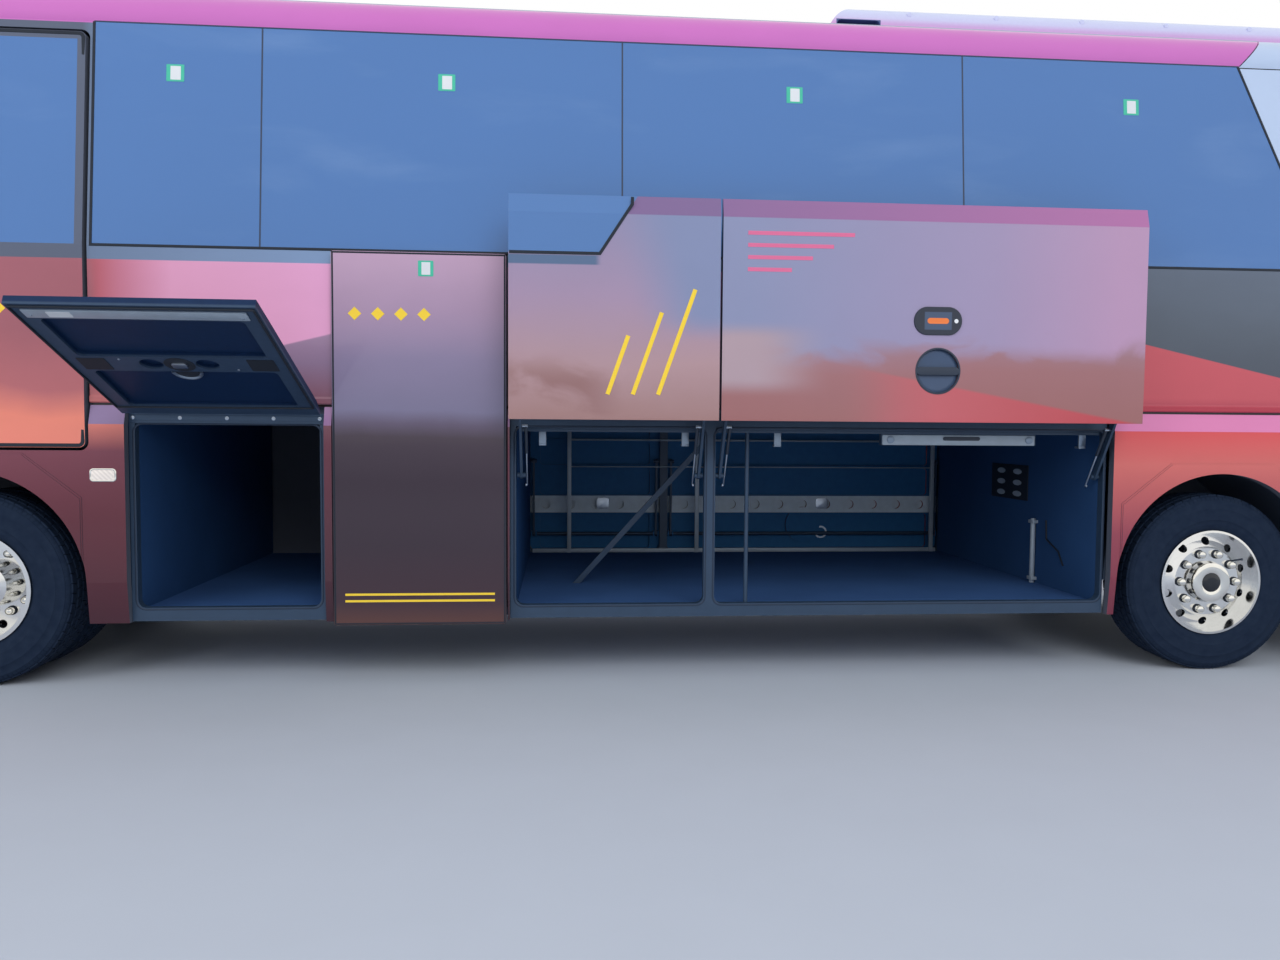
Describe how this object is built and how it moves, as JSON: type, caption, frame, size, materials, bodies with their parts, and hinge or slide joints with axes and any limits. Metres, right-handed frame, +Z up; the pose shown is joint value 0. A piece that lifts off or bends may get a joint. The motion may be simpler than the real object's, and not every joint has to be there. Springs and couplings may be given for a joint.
{
  "type": "coach bus",
  "caption": "High-floor coach bus with lifting luggage flaps, tinted side windows, two axles and twin rear wheels, parked with its right luggage bays open.",
  "frame": {"origin": "on the ground under the middle of the body's length, on its centre plane", "axes": "+X forward, +Y to the coach's left side, +Z up"},
  "size_m": [13.25, 3.7931, 3.9051],
  "materials": {
    "body_paint": "gloss",
    "roof_paint": "gloss",
    "tinted_glass": "polished",
    "black_frame": "satin",
    "bay_lining": "matte",
    "chassis_steel": "satin",
    "engine_iron": "matte",
    "tyre_rubber": "matte",
    "bright_rim": "polished",
    "seat_cloth": "woven",
    "dark_plastic": "matte",
    "arm_steel": "satin"
  },
  "bodies": {
    "root": {"side_wall_right": "body_paint", "side_wall_left": "body_paint", "roof_shell": "roof_paint", "front_cap": "body_paint", "rear_cap": "body_paint", "windscreen": "tinted_glass", "rear_window": "tinted_glass", "side_glass_right": "tinted_glass", "quarter_glass_right": "tinted_glass", "side_glass_left": "tinted_glass", "driver_window": "tinted_glass", "roof_pod": "roof_paint", "cabin_floor": "bay_lining", "bay_floor": "bay_lining", "bay_frame_right": "black_frame", "bay_frame_left": "black_frame", "bay_frame_small": "black_frame", "bay_brace": "black_frame", "front_rails": "chassis_steel", "rear_rails": "chassis_steel", "wheel_housing_front": "black_frame", "wheel_housing_rear": "black_frame", "engine_block": "engine_iron", "front_axle": "chassis_steel", "rear_axle": "chassis_steel", "mirror_right": "dark_plastic", "mirror_left": "dark_plastic", "seats_right": "seat_cloth", "seats_left": "seat_cloth", "driver_seat": "seat_cloth", "dashboard": "dark_plastic", "steering_wheel": "dark_plastic"},
    "hatch": {"roof_hatch": "dark_plastic"},
    "steer_right": {"knuckle_right": "chassis_steel"},
    "steer_left": {"knuckle_left": "chassis_steel"},
    "wheel_fr": {"tyre_front_right": "tyre_rubber", "rim_front_right": "bright_rim"},
    "wheel_fl": {"tyre_front_left": "tyre_rubber", "rim_front_left": "bright_rim"},
    "wheel_rr": {"tyre_rear_right_outer": "tyre_rubber", "tyre_rear_right_inner": "tyre_rubber", "rims_rear_right": "bright_rim"},
    "wheel_rl": {"tyre_rear_left_outer": "tyre_rubber", "tyre_rear_left_inner": "tyre_rubber", "rims_rear_left": "bright_rim"},
    "front_door": {"door_front": "body_paint", "door_front_glass": "tinted_glass"},
    "mid_door": {"door_mid": "body_paint"},
    "high_door": {"door_high": "body_paint", "door_high_glass": "tinted_glass"},
    "rear_flap": {"flap_rear_right": "body_paint"},
    "arms_r1": {"arms_right_1": "arm_steel"},
    "arms_r2": {"arms_right_2": "arm_steel"},
    "flap_r1": {"flap_right_1": "body_paint"},
    "flap_r2": {"flap_right_2": "body_paint"},
    "arms_l1": {"arms_left_1": "arm_steel"},
    "arms_l2": {"arms_left_2": "arm_steel"},
    "flap_l1": {"flap_left_1": "body_paint"},
    "flap_l2": {"flap_left_2": "body_paint"},
    "lid": {"engine_lid": "body_paint"}
  },
  "joints": [
    {"name": "steer_right", "type": "hinge", "parent": "root", "child": "steer_right", "pos_m": [3.7, -0.978, 0.515], "axis": [0, 0, 1], "range_deg": [-40, 40]},
    {"name": "steer_left", "type": "hinge", "parent": "root", "child": "steer_left", "pos_m": [3.7, 0.978, 0.515], "axis": [0, 0, 1], "range_deg": [-40, 40]},
    {"name": "roll_front_right", "type": "hinge", "parent": "steer_right", "child": "wheel_fr", "pos_m": [3.7, -1.078, 0.515], "axis": [0, 1, 0], "continuous": true},
    {"name": "roll_front_left", "type": "hinge", "parent": "steer_left", "child": "wheel_fl", "pos_m": [3.7, 1.078, 0.515], "axis": [0, 1, 0], "continuous": true},
    {"name": "roll_rear_right", "type": "hinge", "parent": "root", "child": "wheel_rr", "pos_m": [-3.16, -1.078, 0.515], "axis": [0, 1, 0], "continuous": true},
    {"name": "roll_rear_left", "type": "hinge", "parent": "root", "child": "wheel_rl", "pos_m": [-3.16, 1.078, 0.515], "axis": [0, 1, 0], "continuous": true},
    {"name": "front_door_swing", "type": "hinge", "parent": "root", "child": "front_door", "pos_m": [5.4, -1.285, 1], "axis": [0, 0, 1], "range_deg": [0, 90]},
    {"name": "mid_door_swing", "type": "hinge", "parent": "root", "child": "mid_door", "pos_m": [-1.28, -1.285, 1], "axis": [0, 0, -1], "range_deg": [0, 90]},
    {"name": "high_door_swing", "type": "hinge", "parent": "root", "child": "high_door", "pos_m": [-3.75, -1.285, 2], "axis": [0, 0, -1], "range_deg": [0, 95]},
    {"name": "rear_flap_lift", "type": "hinge", "parent": "root", "child": "rear_flap", "pos_m": [-1.835, -1.284, 1.489], "axis": [-1, 0, 0], "range_deg": [-112, 0]},
    {"name": "engine_lid_lift", "type": "hinge", "parent": "root", "child": "lid", "pos_m": [-6.53, 0, 1.884], "axis": [0, 1, 0], "range_deg": [0, 75]},
    {"name": "roof_hatch_tilt", "type": "hinge", "parent": "root", "child": "hatch", "pos_m": [-2.2, 0, 3.812], "axis": [0, 1, 0], "range_deg": [0, 35]},
    {"name": "flap_right_1_lift", "type": "hinge", "parent": "root", "child": "arms_r1", "pos_m": [0.1975, -1.18, 1.12732], "axis": [-1, 0, 0], "range_deg": [-147.13, 0]},
    {"name": "flap_right_1_level", "type": "hinge", "parent": "arms_r1", "child": "flap_r1", "pos_m": [0.1975, -1.475, 1.63], "axis": [-1, 0, 0], "range_deg": [0, 147.13]},
    {"name": "flap_left_1_lift", "type": "hinge", "parent": "root", "child": "arms_l1", "pos_m": [0.1975, 1.18, 1.12732], "axis": [1, 0, 0], "range_deg": [0, 147.13]},
    {"name": "flap_left_1_level", "type": "hinge", "parent": "arms_l1", "child": "flap_l1", "pos_m": [0.1975, 1.205, 0.545], "axis": [1, 0, 0], "range_deg": [-147.13, 0]},
    {"name": "flap_right_2_lift", "type": "hinge", "parent": "root", "child": "arms_r2", "pos_m": [1.895, -1.18, 1.12732], "axis": [-1, 0, 0], "range_deg": [-147.13, 0]},
    {"name": "flap_right_2_level", "type": "hinge", "parent": "arms_r2", "child": "flap_r2", "pos_m": [1.895, -1.475, 1.63], "axis": [-1, 0, 0], "range_deg": [0, 147.13]},
    {"name": "flap_left_2_lift", "type": "hinge", "parent": "root", "child": "arms_l2", "pos_m": [1.895, 1.18, 1.12732], "axis": [1, 0, 0], "range_deg": [0, 147.13]},
    {"name": "flap_left_2_level", "type": "hinge", "parent": "arms_l2", "child": "flap_l2", "pos_m": [1.895, 1.205, 0.545], "axis": [1, 0, 0], "range_deg": [-147.13, 0]}
  ],
  "couplings": [
    {"joint": "steer_left", "follows": "steer_right", "ratio": 1},
    {"joint": "flap_right_1_level", "follows": "flap_right_1_lift", "ratio": -1},
    {"joint": "flap_left_1_level", "follows": "flap_left_1_lift", "ratio": -1},
    {"joint": "flap_right_2_level", "follows": "flap_right_2_lift", "ratio": -1},
    {"joint": "flap_left_2_level", "follows": "flap_left_2_lift", "ratio": -1}
  ]
}
